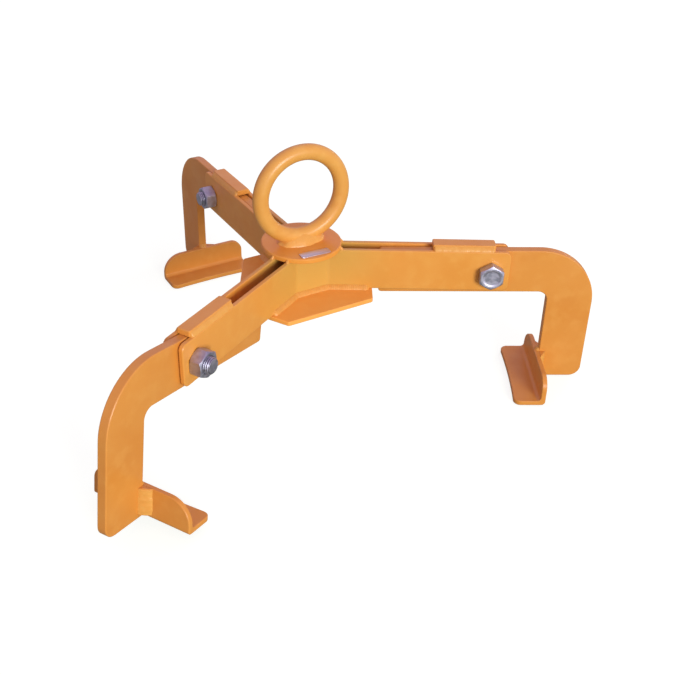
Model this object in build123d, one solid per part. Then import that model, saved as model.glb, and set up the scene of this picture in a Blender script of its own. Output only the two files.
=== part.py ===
"""Three-arm drum clamp: a welded hub with three arms, and a swinging hook on each arm.

Millimetres, +Z up. The origin is on the hub axis, on the underside of the base plate. Arm a points
along +X, arm b is a third of a turn further on (counter-clockwise from above) and arm c the next.
A piece of an arm is drawn with X outward from the hub axis, Y across the arm and Z up.
"""
from build123d import *
import math
import os

# Drum that the jaws close on
drum_radius = 283.5

# Broken edges of the flame-cut plates
edge_break = 0.8

# Hub
base_thickness = 6.0
base_reach_at_arms = 92.0
base_reach_at_sides = 79.0
base_corner_radius = 4.0
disc_radius = 51.0
disc_thickness = 6.0
disc_edge_chamfer = 1.0

# Bent side plates: each is one side of two neighbouring arms, with a flat facet between them
side_plate_height = 55.0
side_plate_thickness = 6.0
arm_slot_width = 15.0
facet_reach = 29.0
bend_radius = 10.0
arm_end_beyond_pivot = 24.0
arm_end_corner_radius = 8.0

# Pivot bolt with its nut
pivot_height_on_plate = 24.0
bolt_diameter = 20.0
bolt_head_height = 12.5
hex_across_flats = 30.0
hex_sides = 6
hex_turn = 30.0
hex_chamfer_angle = 30.0
nut_height = 16.0
bolt_end_beyond_nut = 6.0
bolt_end_chamfer = 1.5
pivot_clearance = 0.05

# Stop strap along the top of each arm, over the slot, with a weld down each side
strap_length = 80.0
strap_beyond_pivot = 4.0
strap_thickness = 7.0
strap_corner_radius = 2.0
strap_overlap = 1.5
strap_weld_height = 5.0

# Hook lever
hook_thickness = 12.0
hook_throat = 79.0
hook_bar_height = 60.0
hook_leg_width = 60.0
hook_leg_drop = 134.0
hook_gap_under_strap = 1.5
hook_outer_radius = 76.0
hook_inner_radius = 13.0
hook_toe_radius = 15.0
hook_tail_radius = 4.0
tail_gap_to_base = 8.0

# Swing of each hook as it stands, opening from square
swing_a = 0.9
swing_b = 0.3
swing_c = 9.4

# Jaw pad: an angle bar across the toe of the hook, its flange cut to a curve flatter than the drum.
# Its low end is the clockwise one, its high end the other.
pad_length = 133.0
pad_wall_height = 40.0
pad_wall_thickness = 6.5
pad_flange_thickness = 6.5
pad_flange_depth = 38.5
pad_low_corner_radius = 18.0
pad_high_corner_radius = 29.0
pad_flange_corner_radius = 9.0
pad_inside_radius = 5.0
pad_heel_radius = 5.0
jaw_radius = 900.0

# Welds in the corners between the hook's leg and the jaw pad's wall
pad_weld_on_leg = 8.0
pad_weld_on_wall = 13.0

# How far each jaw pad sits off the middle of its hook, counter-clockwise
pad_shift_a = -8.5
pad_shift_b = 2.0
pad_shift_c = 3.0

# Lifting ring, welded upright on the disc
ring_bar_diameter = 20.0
ring_middle_radius = 55.0
ring_seat_depth = 1.5
ring_turn = 27.0
weld_length = 64.0
weld_width = 34.0
weld_height = 10.0
weld_top_share = 0.6

# Bare plate on the disc, beside the ring
label_length = 40.0
label_width = 14.0
label_thickness = 0.8
label_reach = 38.5
label_corner_radius = 1.5

# Distance under which two places count as the same place
same_place = 1e-6

# Places that follow from the sizes above
arm_names = ("a", "b", "c")
full_turn = 360.0
arm_spacing = full_turn / len(arm_names)
half_arm_spread = arm_spacing / 2
swings = dict(zip(arm_names, (swing_a, swing_b, swing_c)))
pad_shifts = dict(zip(arm_names, (pad_shift_a, pad_shift_b, pad_shift_c)))
leg_inner_reach = drum_radius + pad_flange_depth
leg_outer_reach = leg_inner_reach + hook_leg_width
pivot_reach = leg_inner_reach - hook_throat
arm_reach = pivot_reach + arm_end_beyond_pivot
arm_half_width = arm_slot_width / 2 + side_plate_thickness
strap_half_width = arm_slot_width / 2 + strap_overlap
strap_weld_width = side_plate_thickness - strap_overlap - edge_break
plate_bottom = base_thickness
plate_top = plate_bottom + side_plate_height
pivot_height = plate_bottom + pivot_height_on_plate
disc_top = plate_top + disc_thickness
hook_top = plate_top - hook_gap_under_strap
hook_bar_bottom = hook_top - hook_bar_height
hook_toe = -hook_leg_drop
tail_reach = base_reach_at_arms + tail_gap_to_base
bolt_radius = bolt_diameter / 2
bolt_end = arm_half_width + nut_height + bolt_end_beyond_nut


def rounded_face(corners):
    """Flat face inside a closed outline of (x, y, radius) corners, each rounded by its own arc."""
    edges = []
    starts = []
    ends = []
    for index, (x, y, radius) in enumerate(corners):
        corner = Vector(x, y)
        before = corners[index - 1]
        after = corners[(index + 1) % len(corners)]
        to_before = (Vector(before[0], before[1]) - corner).normalized()
        to_after = (Vector(after[0], after[1]) - corner).normalized()
        half_angle = math.radians(to_before.get_angle(to_after)) / 2
        start = corner + to_before * (radius / math.tan(half_angle))
        end = corner + to_after * (radius / math.tan(half_angle))
        if radius > 0:
            inward = (to_before + to_after).normalized()
            middle = corner + inward * (radius / math.sin(half_angle) - radius)
            edges.append(ThreePointArc(start, middle, end))
        starts.append(start)
        ends.append(end)
    for index, end in enumerate(ends):
        edges.append(Line(end, starts[(index + 1) % len(starts)]))
    return make_face(edges)


def rounded_rectangle(low_x, high_x, half_width, radius):
    """Flat face of a rectangle that lies evenly about the X axis, with rounded corners."""
    return rounded_face([
        (low_x, -half_width, radius),
        (high_x, -half_width, radius),
        (high_x, half_width, radius),
        (low_x, half_width, radius),
    ])


def place_on_arm(solid, angle):
    """Turn a piece drawn on arm a about the hub axis to its own arm."""
    return solid.rotate(Axis.Z, angle)


def pivot_cylinder(radius, start, end):
    """Round bar on the pivot axis of arm a, from one distance across the arm to another."""
    middle = (start + end) / 2
    bar = Cylinder(radius, end - start, rotation=(90, 0, 0))
    return Pos(pivot_reach, middle, pivot_height) * bar


def hex_prism(height, chamfer_both_ends):
    """Hexagon of the bolts' size standing on Z = 0, its outer end (or both) turned to a chamfer."""
    flat_radius = hex_across_flats / 2
    corner_radius = flat_radius / math.cos(math.pi / hex_sides)
    outline = RegularPolygon(flat_radius, hex_sides, major_radius=False, rotation=hex_turn)
    prism = extrude(outline, height)
    turned = Cylinder(corner_radius, height, align=(Align.CENTER, Align.CENTER, Align.MIN))
    rims = turned.edges().filter_by(GeomType.CIRCLE).sort_by(Axis.Z)
    cut = rims if chamfer_both_ends else rims[-1:]
    run = corner_radius - flat_radius
    drop = run * math.tan(math.radians(hex_chamfer_angle))
    for rim in cut:
        face = turned.faces().filter_by(GeomType.PLANE).sort_by_distance(rim.center())[0]
        turned = chamfer(match_edge(turned, rim), run, drop, reference=face)
    return prism & turned


def match_edge(solid, edge):
    """The edge of a solid that lies where a given edge lies."""
    return solid.edges().sort_by_distance(edge.center())[0]


def make_base_plate():
    """Six-sided plate under the hub, with one edge across each arm and each side."""
    corners = []
    reaches = (base_reach_at_arms, base_reach_at_sides)
    step = math.radians(half_arm_spread)
    for index in range(2 * len(arm_names)):
        here = reaches[index % 2]
        following = reaches[(index + 1) % 2]
        along = (following - here * math.cos(step)) / math.sin(step)
        turn = index * step
        x = here * math.cos(turn) - along * math.sin(turn)
        y = here * math.sin(turn) + along * math.cos(turn)
        corners.append((x, y, base_corner_radius))
    plate = extrude(rounded_face(corners), base_thickness)
    rims = plate.edges().group_by(Axis.Z)
    return chamfer(rims[0] + rims[-1], edge_break)


def make_side_plate(angle):
    """Bent plate between two arms, drawn with its facet across +X and turned to its angle."""
    turn = math.radians(half_arm_spread)
    corners = []
    for distance, facet, radius in (
        (arm_half_width, facet_reach, bend_radius),
        (arm_slot_width / 2, facet_reach - side_plate_thickness, bend_radius + side_plate_thickness),
    ):
        along = (facet - distance * math.sin(turn)) / math.cos(turn)
        bend = (facet, along * math.sin(turn) - distance * math.cos(turn), radius)
        end_x = arm_reach * math.cos(turn) + distance * math.sin(turn)
        end_y = arm_reach * math.sin(turn) - distance * math.cos(turn)
        corners.append((bend, (end_x, end_y, 0.0)))
    (outer_bend, outer_end), (inner_bend, inner_end) = corners
    half = [outer_bend, outer_end, inner_end, inner_bend]
    mirrored = [(x, -y, radius) for x, y, radius in reversed(half)]
    plate = Pos(0, 0, plate_bottom) * extrude(rounded_face(half + mirrored), side_plate_height)
    plate = fillet(plate.edges().filter_by(is_tip_edge), arm_end_corner_radius)
    plate = chamfer(plate.edges().filter_by(is_rim_edge), edge_break)
    for side in (half_arm_spread, -half_arm_spread):
        hole = pivot_cylinder(bolt_radius + pivot_clearance, -bolt_end, bolt_end)
        plate -= place_on_arm(hole, side)
    return place_on_arm(plate, angle)


def is_across(edge):
    """True for an edge that runs straight across the thickness of a side plate."""
    return edge.geom_type == GeomType.LINE and abs(edge.length - side_plate_thickness) < same_place


def is_at_tip(edge):
    """True for an edge that lies on the end face of one of the arms."""
    middle = edge.center()
    along = middle.X * math.cos(math.radians(half_arm_spread))
    along += abs(middle.Y) * math.sin(math.radians(half_arm_spread))
    return along > arm_reach - same_place


def is_tip_edge(edge):
    """True for the level edges of the end faces, which become the rounded tips of the arms."""
    return is_across(edge) and is_at_tip(edge)


def is_rim_edge(edge):
    """True for the long edges round both faces of a side plate, without the lines of its bends."""
    rise = abs(edge.start_point().Z - edge.end_point().Z)
    upright = edge.geom_type == GeomType.LINE and rise > same_place
    return not is_across(edge) and (is_at_tip(edge) or not upright)


def make_disc():
    """Round plate on top of the side plates."""
    disc = Cylinder(disc_radius, disc_thickness, align=(Align.CENTER, Align.CENTER, Align.MIN))
    disc = chamfer(disc.edges().group_by(Axis.Z)[-1], disc_edge_chamfer)
    return Pos(0, 0, plate_top) * disc


def make_ring():
    """Upright ring of round bar with the weld at its foot, standing flat on the disc."""
    bar_radius = ring_bar_diameter / 2
    middle_height = ring_middle_radius + bar_radius - ring_seat_depth
    ring = Pos(0, 0, middle_height) * Torus(ring_middle_radius, bar_radius, rotation=(90, 0, 0))
    foot = Ellipse(weld_length / 2, weld_width / 2)
    top = Ellipse(weld_length / 2 * weld_top_share, weld_width / 2 * weld_top_share)
    weld = loft([foot.face(), (Pos(0, 0, weld_height) * top).face()])
    standing = split(ring + weld, bisect_by=Plane.XY, keep=Keep.TOP)
    return Pos(0, 0, disc_top) * standing.rotate(Axis.Z, ring_turn)


def make_label():
    """Thin bare plate on the disc, along the foot of the ring."""
    outline = rounded_rectangle(-label_length / 2, label_length / 2, label_width / 2, label_corner_radius)
    label = extrude(outline, label_thickness)
    return (Pos(0, -label_reach, disc_top) * label).rotate(Axis.Z, ring_turn)


def make_strap():
    """Flat strap over the slot of arm a, welded to both plates, which stops the hook both ways."""
    outer_end = pivot_reach + strap_beyond_pivot
    inner_end = outer_end - strap_length
    outline = rounded_rectangle(inner_end, outer_end, strap_half_width, strap_corner_radius)
    strap = extrude(outline, strap_thickness)
    strap = chamfer(strap.edges().group_by(Axis.Z)[-1], edge_break)
    for side in (1, -1):
        strap += make_strap_weld(side, inner_end + strap_corner_radius, outer_end - strap_corner_radius)
    return Pos(0, 0, plate_top) * strap


def make_strap_weld(side, start, end):
    """Weld along one side of a strap that lies on Z = 0, from one distance along the arm to another."""
    strap_face = side * strap_half_width
    outline = Polyline(
        (strap_face, 0),
        (strap_face + side * strap_weld_width, 0),
        (strap_face, strap_weld_height),
        close=True,
    )
    section = Plane(origin=(start, 0, 0), x_dir=(0, 1, 0), z_dir=(1, 0, 0)) * make_face(outline)
    return extrude(section, end - start, dir=(1, 0, 0))


def make_hook():
    """Hook lever of arm a, square: a tail and bar in the slot, and a leg that hangs outside it."""
    outline = [
        (tail_reach, hook_bar_bottom, hook_tail_radius),
        (leg_inner_reach, hook_bar_bottom, hook_inner_radius),
        (leg_inner_reach, hook_toe, 0.0),
        (leg_outer_reach, hook_toe, hook_toe_radius),
        (leg_outer_reach, hook_top, hook_outer_radius),
        (tail_reach, hook_top, hook_tail_radius),
    ]
    hook = extrude(Plane.XZ * rounded_face(outline), hook_thickness / 2, both=True)
    rims = hook.edges().group_by(Axis.Y)
    hook = chamfer(rims[0] + rims[-1], edge_break)
    return hook - pivot_cylinder(bolt_radius + pivot_clearance, -hook_thickness, hook_thickness)


def make_pad(shift):
    """Jaw pad of arm a: an upright wall on the hook's leg and a flange that reaches to the drum."""
    low_end = shift - pad_length / 2
    high_end = shift + pad_length / 2
    wall_top = hook_toe + pad_wall_height
    wall_outline = [
        (low_end, hook_toe, 0.0),
        (high_end, hook_toe, 0.0),
        (high_end, wall_top, pad_high_corner_radius),
        (low_end, wall_top, pad_low_corner_radius),
    ]
    wall_place = Plane(origin=(leg_inner_reach, 0, 0), x_dir=(0, 1, 0), z_dir=(1, 0, 0))
    wall = extrude(wall_place * rounded_face(wall_outline), -pad_wall_thickness)
    jaw_middle = drum_radius - jaw_radius
    tip_reach = jaw_middle + math.sqrt(jaw_radius**2 - max(-low_end, high_end) ** 2)
    flange_outline = [
        (tip_reach - pad_flange_depth, low_end, 0.0),
        (leg_inner_reach, low_end, 0.0),
        (leg_inner_reach, high_end, 0.0),
        (tip_reach - pad_flange_depth, high_end, 0.0),
    ]
    flange_face = rounded_face(flange_outline) - Pos(jaw_middle, 0) * Circle(jaw_radius)
    flange = extrude(flange_face, pad_flange_thickness)
    tips = flange.edges().filter_by(Axis.Z).sort_by(Axis.X)[:2]
    flange = Pos(0, 0, hook_toe) * fillet(tips, pad_flange_corner_radius)
    pad = wall + flange
    pad = fillet(pad.edges().filter_by(Axis.Y).filter_by(is_inside_corner), pad_inside_radius)
    pad = fillet(pad.edges().filter_by(Axis.Y).filter_by(is_heel), pad_heel_radius)
    pad = chamfer(pad.edges().filter_by(is_pad_rim), edge_break)
    return pad + make_pad_weld(1) + make_pad_weld(-1)


def is_inside_corner(edge):
    """True for the edge where the top of a jaw pad's flange meets the inside of its wall."""
    middle = edge.center()
    wall_face = leg_inner_reach - pad_wall_thickness
    flange_face = hook_toe + pad_flange_thickness
    return math.hypot(middle.X - wall_face, middle.Z - flange_face) < same_place


def is_heel(edge):
    """True for the outer corner of a jaw pad's angle, at the toe of the hook."""
    middle = edge.center()
    return math.hypot(middle.X - leg_inner_reach, middle.Z - hook_toe) < same_place


def is_pad_rim(edge):
    """True for the free edges of a jaw pad: not those on the hook's leg or of the inside corner."""
    middle = edge.center()
    on_leg = middle.X > leg_inner_reach - same_place
    at_top = middle.Z > hook_toe + pad_flange_thickness + pad_inside_radius
    at_tip = middle.X < drum_radius + same_place
    return (at_tip or at_top) and not on_leg


def make_pad_weld(side):
    """Weld in one corner between the leg of hook a and its jaw pad, from its heel to its top."""
    leg_face = side * hook_thickness / 2
    outline = Polyline(
        (leg_inner_reach, leg_face),
        (leg_inner_reach + pad_weld_on_leg, leg_face),
        (leg_inner_reach, leg_face + side * pad_weld_on_wall),
        close=True,
    )
    height = pad_wall_height - pad_heel_radius
    weld = extrude(make_face(outline), height, dir=(0, 0, 1))
    return Pos(0, 0, hook_toe + pad_heel_radius) * weld


def swing_open(solid, swing):
    """Turn a hook piece of arm a about its pivot, so that the toe moves outward."""
    return solid.rotate(Axis((pivot_reach, 0, pivot_height), (0, -1, 0)), swing)


def make_bolt():
    """Hexagon bolt of arm a, with its head on the clockwise side of the arm."""
    shank = pivot_cylinder(bolt_radius, -arm_half_width, bolt_end)
    shank = chamfer(shank.edges().group_by(Axis.Y)[-1], bolt_end_chamfer)
    head = Rot(90, 0, 0) * hex_prism(bolt_head_height, False)
    return shank + Pos(pivot_reach, -arm_half_width, pivot_height) * head


def make_nut():
    """Hexagon nut of arm a, on the counter-clockwise side of the arm."""
    nut = Rot(-90, 0, 0) * hex_prism(nut_height, True)
    nut = Pos(pivot_reach, arm_half_width, pivot_height) * nut
    return nut - pivot_cylinder(bolt_radius + pivot_clearance, 0, bolt_end)


def build():
    """All the pieces by node name, each in its place as the clamp stands."""
    pieces = {
        "base_plate": make_base_plate(),
        "top_disc": make_disc(),
        "lifting_ring": make_ring(),
        "label_plate": make_label(),
    }
    for index, name in enumerate(arm_names):
        angle = index * arm_spacing
        following = arm_names[(index + 1) % len(arm_names)]
        pieces[f"side_plate_{name}{following}"] = make_side_plate(angle + half_arm_spread)
        on_arm = {
            "stop_strap": make_strap(),
            "hook": swing_open(make_hook(), swings[name]),
            "jaw_pad": swing_open(make_pad(pad_shifts[name]), swings[name]),
            "pivot_bolt": make_bolt(),
            "pivot_nut": make_nut(),
        }
        for piece, solid in on_arm.items():
            pieces[f"{piece}_{name}"] = place_on_arm(solid, angle)
    return pieces


os.makedirs("parts", exist_ok=True)
for node, solid in build().items():
    export_step(solid, f"parts/{node}.step")
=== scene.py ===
"""Looks of a three-arm drum clamp: orange enamel on welded plates, zinc-plated bolts, a bare foil plate.

Shapes are worked out in millimetres and put into their meshes in metres. Arm a points along +X, and
arms b and c follow counter-clockwise. A piece of an arm is drawn on arm a, with X outward from the hub,
Y across the arm and Z up, and is then turned to its own arm. Materials, floor, lights and the camera's
place are in metres.
"""
import math
from collections import namedtuple

import bpy
import numpy as np
from mathutils import Matrix, Vector


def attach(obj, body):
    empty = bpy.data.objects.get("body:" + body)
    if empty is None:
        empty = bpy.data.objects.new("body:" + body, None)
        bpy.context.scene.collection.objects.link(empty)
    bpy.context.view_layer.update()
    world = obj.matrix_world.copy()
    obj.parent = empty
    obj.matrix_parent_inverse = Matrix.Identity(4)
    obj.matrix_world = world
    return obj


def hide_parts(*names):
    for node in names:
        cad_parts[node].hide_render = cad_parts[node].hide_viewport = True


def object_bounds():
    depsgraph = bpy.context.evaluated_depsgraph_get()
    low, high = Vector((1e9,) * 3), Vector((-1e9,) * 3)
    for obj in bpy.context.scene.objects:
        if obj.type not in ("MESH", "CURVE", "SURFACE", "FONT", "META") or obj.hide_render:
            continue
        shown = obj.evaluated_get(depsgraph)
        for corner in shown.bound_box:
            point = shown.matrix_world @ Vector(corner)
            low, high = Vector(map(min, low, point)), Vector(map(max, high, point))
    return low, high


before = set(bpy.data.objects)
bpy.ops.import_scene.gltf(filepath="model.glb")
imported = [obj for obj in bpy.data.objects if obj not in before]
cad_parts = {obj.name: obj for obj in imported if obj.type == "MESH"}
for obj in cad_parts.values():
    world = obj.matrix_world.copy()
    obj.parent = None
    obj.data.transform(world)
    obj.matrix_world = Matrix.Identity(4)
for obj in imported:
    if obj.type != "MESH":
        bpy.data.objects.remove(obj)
cad_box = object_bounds()

# Layout of the clamp, in millimetres and degrees
millimetre = 0.001
full_turn = 2.0 * math.pi
arm_turns = {"a": 0.0, "b": 120.0, "c": 240.0}
hook_swings = {"a": 0.9, "b": 0.3, "c": 9.4}
facet_turns = (60.0, 180.0, 300.0)
half_arm_spread = math.radians(60.0)
straight_up = (0.0, 0.0, 1.0)
straight_down = (0.0, 0.0, -1.0)

# Hub plates and straps
plate_bottom = 6.0
plate_top = 61.0
facet_reach = 29.0
bend_radius = 10.0
arm_half_width = 13.5
slot_half_width = 7.5
base_reach_at_arms = 92.0
disc_radius = 51.0
disc_top = 67.0
strap_inner_end = 167.0
strap_outer_end = 247.0
strap_half_width = 9.0

# Pivot bolts and nuts
pivot_reach = 243.0
pivot_height = 30.0
grip_half_length = 13.5
bolt_radius = 10.0
bolt_neck = 0.6
bolt_end = 35.5
bolt_end_chamfer = 1.5
head_height = 12.5
head_dish = 0.9
head_dish_radius = 11.8
head_dish_slope = 2.4
head_foot_inset = 0.5
head_foot_chamfer = 0.4
collar_height = 0.5
collar_radius = 14.4
collar_foot_radius = 14.2
nut_height = 16.0
nut_bore_play = 0.1
nut_mouth_radius = 11.2
nut_mouth_depth = 1.1
nut_face_radius = 12.6
hex_flat_reach = 15.0
hex_corner_reach = 17.1
hex_face_reach = 14.1
hex_chamfer = math.radians(30.0)
thread_pitch = 2.5
thread_depth = 1.4
thread_start = 6.0
thread_run_in = 5.0
thread_slope = 1.3
thread_crest = 0.15

# Lifting ring and its weld
ring_turn = 27.0
ring_middle_radius = 55.0
ring_bar_radius = 10.0
ring_middle_height = 130.5
ring_drift = 0.05
ring_weld_half_length = 32.0
ring_weld_half_width = 17.0
ring_weld_height = 13.0
ring_weld_sink = 0.1
ring_weld_top_share = 0.52
ring_weld_climb_power = 0.85
ring_weld_humps = 44.0
ring_weld_lean = 4.0
ring_weld_ripple_out = 0.006
ring_weld_ripple_up = 0.12
ring_weld_shade = 0.4

# Bare foil plate in front of the ring
label_half_length = 20.0
label_half_width = 6.3
label_thickness = 0.8
label_crown = 0.6
label_reach = 38.5
label_corner_power = 8

# Hooks and jaw pads
hook_half_thickness = 6.0
leg_inner_reach = 322.0
pad_heel_top = -129.0
pad_wall_top = -94.0

# Weld beads: reach along side a and side b, pitch of the ripples, their share of the reach, length of an end
Bead = namedtuple("Bead", "reach_a reach_b ripple_pitch ripple_depth end_length")
deep_ripple = 0.11
shallow_ripple = 0.025
base_bead = Bead(5.2, 5.6, 2.6, deep_ripple, 5.0)
disc_bead = Bead(4.2, 4.2, 2.4, deep_ripple, 4.0)
rim_bead = Bead(4.0, 4.4, 2.4, deep_ripple, 2.4)
strap_bead = Bead(4.1, 5.8, 2.4, shallow_ripple, 3.0)
pad_corner_bead = Bead(8.6, 13.8, 2.2, shallow_ripple, 1.5)
pad_top_bead = Bead(5.0, 5.5, 2.8, deep_ripple, 4.0)
bead_bulge_power = 1.5
bead_least_end = 0.12
bead_ripple_bend = 0.7
bead_ripple_wander = 0.25
bead_uneven_share = 0.05
bead_face_sink = 0.25
bead_root_sink = 0.8
unevenness = ((0.5, 31.0), (0.3, 13.0), (0.2, 7.0))

# Ends of the welded seams, seeds of their unevenness and steps along them
base_seam_setback = 4.0
disc_seam_reach = 43.0
rim_seam_inner_inset = 0.8
rim_seam_outer_inset = 0.6
strap_seam_setback = 0.6
pad_seam_inset = 0.3
base_seam_seed = 10
disc_seam_seed = 20
arm_weld_seed = 40
pad_weld_seed = 80
seed_step = 10
strap_seed = 3
pad_top_seed = 2
hub_seam_step = 0.8
long_seam_step = 0.6
pad_seam_step = 0.5
fewest_seam_steps = 4
rim_seam_points = 14

# How finely the surfaces are divided, and the angle past which an edge stays sharp
bead_points_across = 13
bend_points = 9
ring_points_round = 224
bar_points_round = 56
ring_weld_rows = 40
ring_weld_points_round = 240
label_points_round = 120
fastener_points_round = 96
hex_end_rows = 8
shank_rows = 248
soft_edge = 60.0
label_edge = 40.0
hex_edge = 28.0


def turned(points, degrees):
    """Points turned about the hub axis: each X and Y is mixed by the cosine and sine of the turn."""
    turn = math.radians(degrees)
    x = points[..., 0] * math.cos(turn) - points[..., 1] * math.sin(turn)
    y = points[..., 0] * math.sin(turn) + points[..., 1] * math.cos(turn)
    return np.stack([x, y, points[..., 2]], axis=-1)


def swung(points, degrees):
    """Points of hook a turned about its pivot, so that the toe moves outward."""
    swing = math.radians(degrees)
    out = points[..., 0] - pivot_reach
    up = points[..., 2] - pivot_height
    x = pivot_reach + out * math.cos(swing) - up * math.sin(swing)
    z = pivot_height + out * math.sin(swing) + up * math.cos(swing)
    return np.stack([x, points[..., 1], z], axis=-1)


def round_angles(count):
    """Angles spread evenly over one full turn, as one row."""
    return np.linspace(0.0, full_turn, count, endpoint=False)[None, :]


def show(thing):
    """Puts an object into the scene."""
    bpy.context.scene.collection.objects.link(thing)


def closed_surface(points, crease_shades, joins_up):
    """Points, painted shade of the creases, quads and fans of one grid.

    Neighbouring points of the grid make four-sided faces, round each row and from row to row. Where the
    rows don't join up, a fan to the middle of the first and of the last row closes the ends. A surface
    whose signed volume (the sum of its corners' triple products) is negative is turned right side out.
    """
    row_count, column_count = points.shape[:2]
    index = np.arange(row_count * column_count).reshape(row_count, column_count)
    below = index if joins_up else index[:-1]
    above = np.roll(index, -1, axis=0) if joins_up else index[1:]
    quads = np.stack([below, np.roll(below, -1, 1), np.roll(above, -1, 1), above], axis=-1).reshape(-1, 4)
    fans = np.zeros((0, 3), int)
    flat_points = points.reshape(-1, 3)
    flat_crease_shades = crease_shades.reshape(-1)
    if not joins_up:
        first_middle = np.full(column_count, len(flat_points))
        last_middle = first_middle + 1
        start_fan = np.stack([np.roll(index[0], -1), index[0], first_middle], axis=-1)
        end_fan = np.stack([index[-1], np.roll(index[-1], -1), last_middle], axis=-1)
        fans = np.concatenate([start_fan, end_fan])
        middles = np.stack([points[0].mean(axis=0), points[-1].mean(axis=0)])
        middle_crease_shades = np.array([crease_shades[0].mean(), crease_shades[-1].mean()])
        flat_points = np.concatenate([flat_points, middles])
        flat_crease_shades = np.concatenate([flat_crease_shades, middle_crease_shades])
    corners = np.concatenate([quads[:, [0, 1, 2]], quads[:, [0, 2, 3]], fans])
    a, b, c = (flat_points[corners[:, k]] for k in range(3))
    volume = (a * np.cross(b, c)).sum()
    if volume < 0:
        quads = quads[:, ::-1]
        fans = fans[:, ::-1]
    return flat_points, flat_crease_shades, quads, fans


def surface_piece(name, body, material, grids, edge_angle):
    """One object from closed surfaces. Each grid is (points, painted shade of its creases, rows join up)."""
    all_points = []
    all_crease_shades = []
    all_faces = []
    count = 0
    for grid in grids:
        points, crease_shades, quads, fans = closed_surface(*grid)
        all_points.append(points)
        all_crease_shades.append(crease_shades)
        all_faces.extend((quads + count).tolist())
        all_faces.extend((fans + count).tolist())
        count += len(points)
    mesh = bpy.data.meshes.new(name)
    mesh.from_pydata((np.concatenate(all_points) * millimetre).tolist(), [], all_faces)
    # Painted shade of the creases, which the weld and zinc finishes darken by
    crease_shade = mesh.attributes.new("crease_shade", "FLOAT", "POINT")
    crease_shade.data.foreach_set("value", np.concatenate(all_crease_shades).astype(np.float32))
    mesh.polygons.foreach_set("use_smooth", np.ones(len(mesh.polygons), bool))
    mesh.set_sharp_from_angle(angle=math.radians(edge_angle))
    mesh.materials.append(material)
    piece = bpy.data.objects.new(name, mesh)
    show(piece)
    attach(piece, body)
    return piece


def slow_wave(length, seed):
    """Gentle unevenness of hand work along a length: three sines of different shares and wave lengths."""
    phases = np.random.default_rng(seed).uniform(0.0, full_turn, len(unevenness))
    wave = np.zeros_like(length)
    for (share, wave_length), phase in zip(unevenness, phases):
        wave += share * np.sin(length / wave_length * full_turn + phase)
    return wave


def path_lengths(path):
    """Distance along a path from its first point to each of its points."""
    steps = np.linalg.norm(np.diff(path, axis=0), axis=1)
    return np.concatenate([[0.0], np.cumsum(steps)])


def fillet_weld(path, side_a, side_b, bead, seed):
    """Weld bead in a corner: a bulging triangle carried along a path.

    Across the bead, an angle goes from one plate to the other. A power of its cosine is the reach along
    side a and that power of its sine the reach along side b, so the face bulges a little. Along the path,
    the reach swells by the humps of a cosine, which bend forward in the middle of the face as the ripples
    of a weld do, and by a slow unevenness. Over the end length it shrinks as a circle does. A side is one
    direction, or one for each point of the path.
    """
    side_a = np.broadcast_to(side_a, path.shape)
    side_b = np.broadcast_to(side_b, path.shape)
    along = path_lengths(path)
    across = np.linspace(0.0, math.pi / 2, bead_points_across)
    from_end = np.clip(np.minimum(along, along[-1] - along) / bead.end_length, 0.0, 1.0)
    taper = np.maximum(np.sqrt(1.0 - (1.0 - from_end) ** 2), bead_least_end)[:, None]
    uneven = slow_wave(along, seed)[:, None]
    bend = bead_ripple_bend * np.sin(2 * across)[None, :]
    phase = along[:, None] / bead.ripple_pitch + bead_ripple_wander * uneven - bend
    hump = np.abs(np.cos(math.pi * phase))
    swell = taper * (1.0 + bead.ripple_depth * (hump - 0.5) + bead_uneven_share * uneven)
    reach_a = bead.reach_a * swell * (np.cos(across) ** bead_bulge_power)[None, :]
    reach_b = bead.reach_b * swell * (np.sin(across) ** bead_bulge_power)[None, :]
    off_corner = side_a + side_b
    face = (path - bead_face_sink * off_corner)[:, None, :] + reach_a[..., None] * side_a[:, None, :]
    face = face + reach_b[..., None] * side_b[:, None, :]
    root = (path - bead_root_sink * off_corner)[:, None, :]
    points = np.concatenate([face, root], axis=1)
    # Painted shade: darker in the ripples' valleys, full at the bead's root
    shade = bead.ripple_depth / deep_ripple * (1.0 - hump)
    crease_shades = np.concatenate([shade, np.ones((len(path), 1))], axis=1)
    return points, crease_shades, False


def straight_path(start, end, step):
    """Points along a straight line, a step apart."""
    start = np.array(start, float)
    end = np.array(end, float)
    count = max(int(round(np.linalg.norm(end - start) / step)), fewest_seam_steps)
    share = np.linspace(0.0, 1.0, count + 1)[:, None]
    return start + share * (end - start)


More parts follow.
